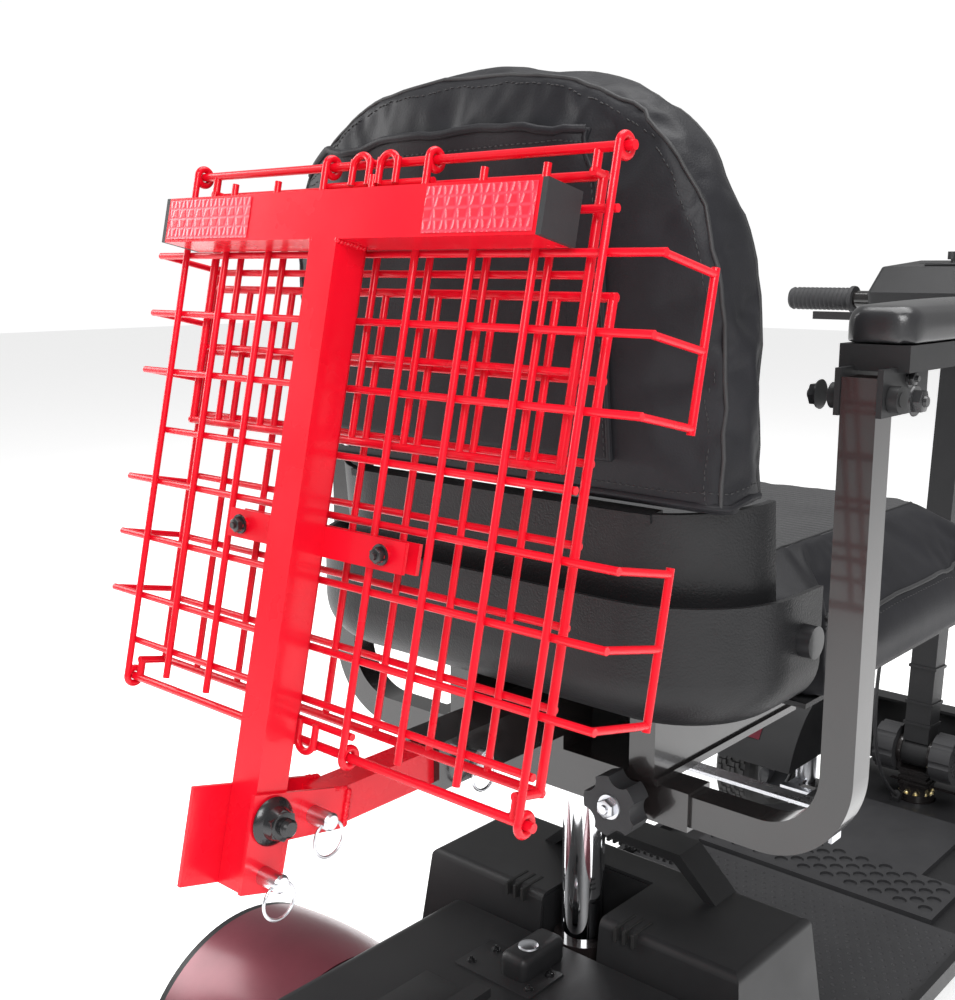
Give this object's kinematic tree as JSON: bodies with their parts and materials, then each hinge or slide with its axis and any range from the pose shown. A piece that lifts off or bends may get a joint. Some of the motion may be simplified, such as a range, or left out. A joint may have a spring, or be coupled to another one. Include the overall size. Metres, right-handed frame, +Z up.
{
  "type": "mobility scooter",
  "caption": "Four-wheeled electric mobility scooter with a swivel seat, flip-up armrests, a tilting tiller and a folding wire carrier behind the backrest.",
  "frame": {"origin": "on the ground, at the middle of the overall length and width", "axes": "+X to the rider's right, +Y forward, +Z up"},
  "size_m": [0.58, 1.3338, 0.9772],
  "materials": {
    "red_powder_coat": "gloss powder coat",
    "black_steel": "gloss black powder coat",
    "black_abs": "fine-textured satin",
    "fender_plastic": "satin with dark red inlays",
    "upholstery": "fine-grained leatherette",
    "armrest_vinyl": "smooth gloss skin",
    "rubber_mat": "matt, bumped",
    "tyre": "solid tyre rubber",
    "wheel_alloy": "satin",
    "chrome": "polished",
    "zinc": "zinc plated",
    "drive_metal": "cast",
    "cell_case": "plain"
  },
  "bodies": {
    "chassis": {"chassis_frame": "black_steel", "deck_pan": "black_abs", "floor_mats": "rubber_mat", "rear_cover": "black_abs", "drive_unit": "drive_metal", "rear_fenders": "fender_plastic", "front_shroud": "fender_plastic", "front_bumper": "black_abs", "battery_case": "black_abs", "battery_lid": "black_abs", "battery_cells": "cell_case", "tiller_cable": "rubber_mat"},
    "anti_tip": {"anti_tip_wheels": "tyre"},
    "freewheel": {"freewheel_lever": "black_abs"},
    "wheel_rear_left": {"tyre_rear_left": "tyre", "rim_rear_left": "wheel_alloy"},
    "wheel_rear_right": {"tyre_rear_right": "tyre", "rim_rear_right": "wheel_alloy"},
    "wheel_front_left": {"tyre_front_left": "tyre", "rim_front_left": "wheel_alloy"},
    "wheel_front_right": {"tyre_front_right": "tyre", "rim_front_right": "wheel_alloy"},
    "knuckle_left": {"steering_knuckle_left": "zinc"},
    "knuckle_right": {"steering_knuckle_right": "zinc"},
    "tie_rod": {"tie_rod": "zinc"},
    "tiller_base": {"tiller_stem": "black_steel"},
    "tiller_head": {"tiller_column": "black_steel", "console": "black_abs", "handlebar": "black_steel", "grips": "rubber_mat"},
    "tilt_knobs": {"tilt_knobs": "black_abs"},
    "throttle": {"throttle_lever": "black_abs"},
    "dial": {"speed_dial": "black_abs"},
    "post": {"seat_post": "chrome"},
    "seat": {"seat_frame": "black_steel", "seat_shell": "black_abs", "seat_cushion": "upholstery", "backrest_bolts": "black_steel", "hitch_bracket": "red_powder_coat", "hitch_pin": "zinc", "pivot_bolt": "black_steel"},
    "swivel_lever": {"swivel_lever": "zinc"},
    "backrest": {"backrest_shell": "black_abs", "backrest_pad": "upholstery"},
    "armrest_left": {"armrest_tube_left": "black_steel"},
    "armrest_right": {"armrest_tube_right": "black_steel"},
    "arm_pad_left": {"armrest_bracket_left": "black_abs", "armrest_pad_left": "armrest_vinyl"},
    "arm_pad_right": {"armrest_bracket_right": "black_abs", "armrest_pad_right": "armrest_vinyl"},
    "clamp_knob_left": {"clamp_knob_left": "black_abs"},
    "clamp_knob_right": {"clamp_knob_right": "black_abs"},
    "lower_pin": {"lower_lock_pin": "zinc"},
    "front_pin": {"front_lock_pin": "zinc"},
    "carrier": {"carrier_frame": "red_powder_coat", "bar_caps": "black_abs", "basket_base": "red_powder_coat", "basket_clamps": "red_powder_coat"},
    "wall_short": {"basket_wall_short": "red_powder_coat"},
    "wall_long": {"basket_wall_long": "red_powder_coat"}
  },
  "joints": [
    {"name": "anti_tip_spin", "type": "hinge", "parent": "chassis", "child": "anti_tip", "pos_m": [0, -0.578, 0.03], "axis": [1, 0, 0], "continuous": true},
    {"name": "freewheel_turn", "type": "hinge", "parent": "chassis", "child": "freewheel", "pos_m": [0.008, -0.448, 0.2], "axis": [0, 0, 1], "range_deg": [0, 60]},
    {"name": "rear_wheel_left_spin", "type": "hinge", "parent": "chassis", "child": "wheel_rear_left", "pos_m": [-0.2325, -0.425, 0.102], "axis": [1, 0, 0], "continuous": true},
    {"name": "knuckle_left_steer", "type": "hinge", "parent": "chassis", "child": "knuckle_left", "pos_m": [-0.165, 0.52, 0.1], "axis": [0, 0, 1], "range_deg": [-35, 35]},
    {"name": "front_wheel_left_spin", "type": "hinge", "parent": "knuckle_left", "child": "wheel_front_left", "pos_m": [-0.235, 0.52, 0.1], "axis": [1, 0, 0], "continuous": true},
    {"name": "rear_wheel_right_spin", "type": "hinge", "parent": "chassis", "child": "wheel_rear_right", "pos_m": [0.2325, -0.425, 0.102], "axis": [1, 0, 0], "continuous": true},
    {"name": "knuckle_right_steer", "type": "hinge", "parent": "chassis", "child": "knuckle_right", "pos_m": [0.165, 0.52, 0.1], "axis": [0, 0, 1], "range_deg": [-35, 35]},
    {"name": "front_wheel_right_spin", "type": "hinge", "parent": "knuckle_right", "child": "wheel_front_right", "pos_m": [0.235, 0.52, 0.1], "axis": [1, 0, 0], "continuous": true},
    {"name": "tie_rod_swing", "type": "hinge", "parent": "knuckle_left", "child": "tie_rod", "pos_m": [-0.165, 0.46, 0.085], "axis": [0, 0, 1], "range_deg": [-35, 35]},
    {"name": "tiller_steer", "type": "hinge", "parent": "chassis", "child": "tiller_base", "pos_m": [0, 0.52, 0.1], "axis": [0, 0, 1], "range_deg": [-35, 35]},
    {"name": "tiller_tilt", "type": "hinge", "parent": "tiller_base", "child": "tiller_head", "pos_m": [0, 0.52, 0.165], "axis": [1, 0, 0], "range_deg": [-20, 30], "deforming": ["tiller_cable"]},
    {"name": "tilt_knobs_turn", "type": "hinge", "parent": "tiller_base", "child": "tilt_knobs", "pos_m": [0, 0.52, 0.165], "axis": [1, 0, 0], "continuous": true},
    {"name": "throttle_swing", "type": "hinge", "parent": "tiller_head", "child": "throttle", "pos_m": [0, 0.455, 0.759], "axis": [0, 0, 1], "range_deg": [-12, 12], "stiffness_Nm_per_rad": 0.8},
    {"name": "speed_dial_turn", "type": "hinge", "parent": "tiller_head", "child": "dial", "pos_m": [0, 0.54, 0.83], "axis": [0, 0, 1], "range_deg": [-135, 135]},
    {"name": "seat_height", "type": "slide", "parent": "chassis", "child": "post", "axis": [0, 0, 1], "range_m": [0, 0.05]},
    {"name": "seat_swivel", "type": "hinge", "parent": "post", "child": "seat", "pos_m": [0, -0.253, 0.4], "axis": [0, 0, 1], "range_deg": [-90, 90]},
    {"name": "swivel_lever_lift", "type": "hinge", "parent": "seat", "child": "swivel_lever", "pos_m": [0.048, -0.208, 0.4], "axis": [0, 1, 0], "range_deg": [-8, 0]},
    {"name": "backrest_fold", "type": "hinge", "parent": "seat", "child": "backrest", "pos_m": [0, -0.295, 0.56], "axis": [1, 0, 0], "range_deg": [-55, 0]},
    {"name": "armrest_left_width", "type": "slide", "parent": "seat", "child": "armrest_left", "axis": [-1, 0, 0], "range_m": [-0.01, 0.05]},
    {"name": "armrest_left_flip", "type": "hinge", "parent": "armrest_left", "child": "arm_pad_left", "pos_m": [-0.256, -0.29, 0.736], "axis": [1, 0, 0], "range_deg": [0, 100]},
    {"name": "clamp_knob_left_turn", "type": "hinge", "parent": "seat", "child": "clamp_knob_left", "pos_m": [-0.085, -0.32, 0.405], "axis": [0, 1, 0], "continuous": true},
    {"name": "armrest_right_width", "type": "slide", "parent": "seat", "child": "armrest_right", "axis": [1, 0, 0], "range_m": [-0.01, 0.05]},
    {"name": "armrest_right_flip", "type": "hinge", "parent": "armrest_right", "child": "arm_pad_right", "pos_m": [0.256, -0.29, 0.736], "axis": [1, 0, 0], "range_deg": [0, 100]},
    {"name": "clamp_knob_right_turn", "type": "hinge", "parent": "seat", "child": "clamp_knob_right", "pos_m": [0.085, -0.32, 0.405], "axis": [0, 1, 0], "continuous": true},
    {"name": "carrier_fold", "type": "hinge", "parent": "seat", "child": "carrier", "pos_m": [0, -0.61466, 0.47028], "axis": [1, 0, 0], "range_deg": [0, 90]},
    {"name": "wall_short_fold", "type": "hinge", "parent": "carrier", "child": "wall_short", "pos_m": [0, -0.49166, 0.88952], "axis": [1, 0, 0], "range_deg": [0, 90]},
    {"name": "wall_long_fold", "type": "hinge", "parent": "carrier", "child": "wall_long", "pos_m": [0, -0.57663, 0.51094], "axis": [1, 0, 0], "range_deg": [-90, 0]},
    {"name": "lower_pin_push", "type": "slide", "parent": "seat", "child": "lower_pin", "axis": [1, 0, 0], "range_m": [-0.008, 0]},
    {"name": "front_pin_push", "type": "slide", "parent": "seat", "child": "front_pin", "axis": [1, 0, 0], "range_m": [-0.008, 0]}
  ],
  "couplings": [
    {"joint": "knuckle_left_steer", "follows": "tiller_steer", "ratio": 1},
    {"joint": "knuckle_right_steer", "follows": "tiller_steer", "ratio": 1},
    {"joint": "tie_rod_swing", "follows": "tiller_steer", "ratio": -1},
    {"joint": "wall_short_fold", "follows": "carrier_fold", "ratio": 1},
    {"joint": "wall_long_fold", "follows": "carrier_fold", "ratio": -1}
  ]
}
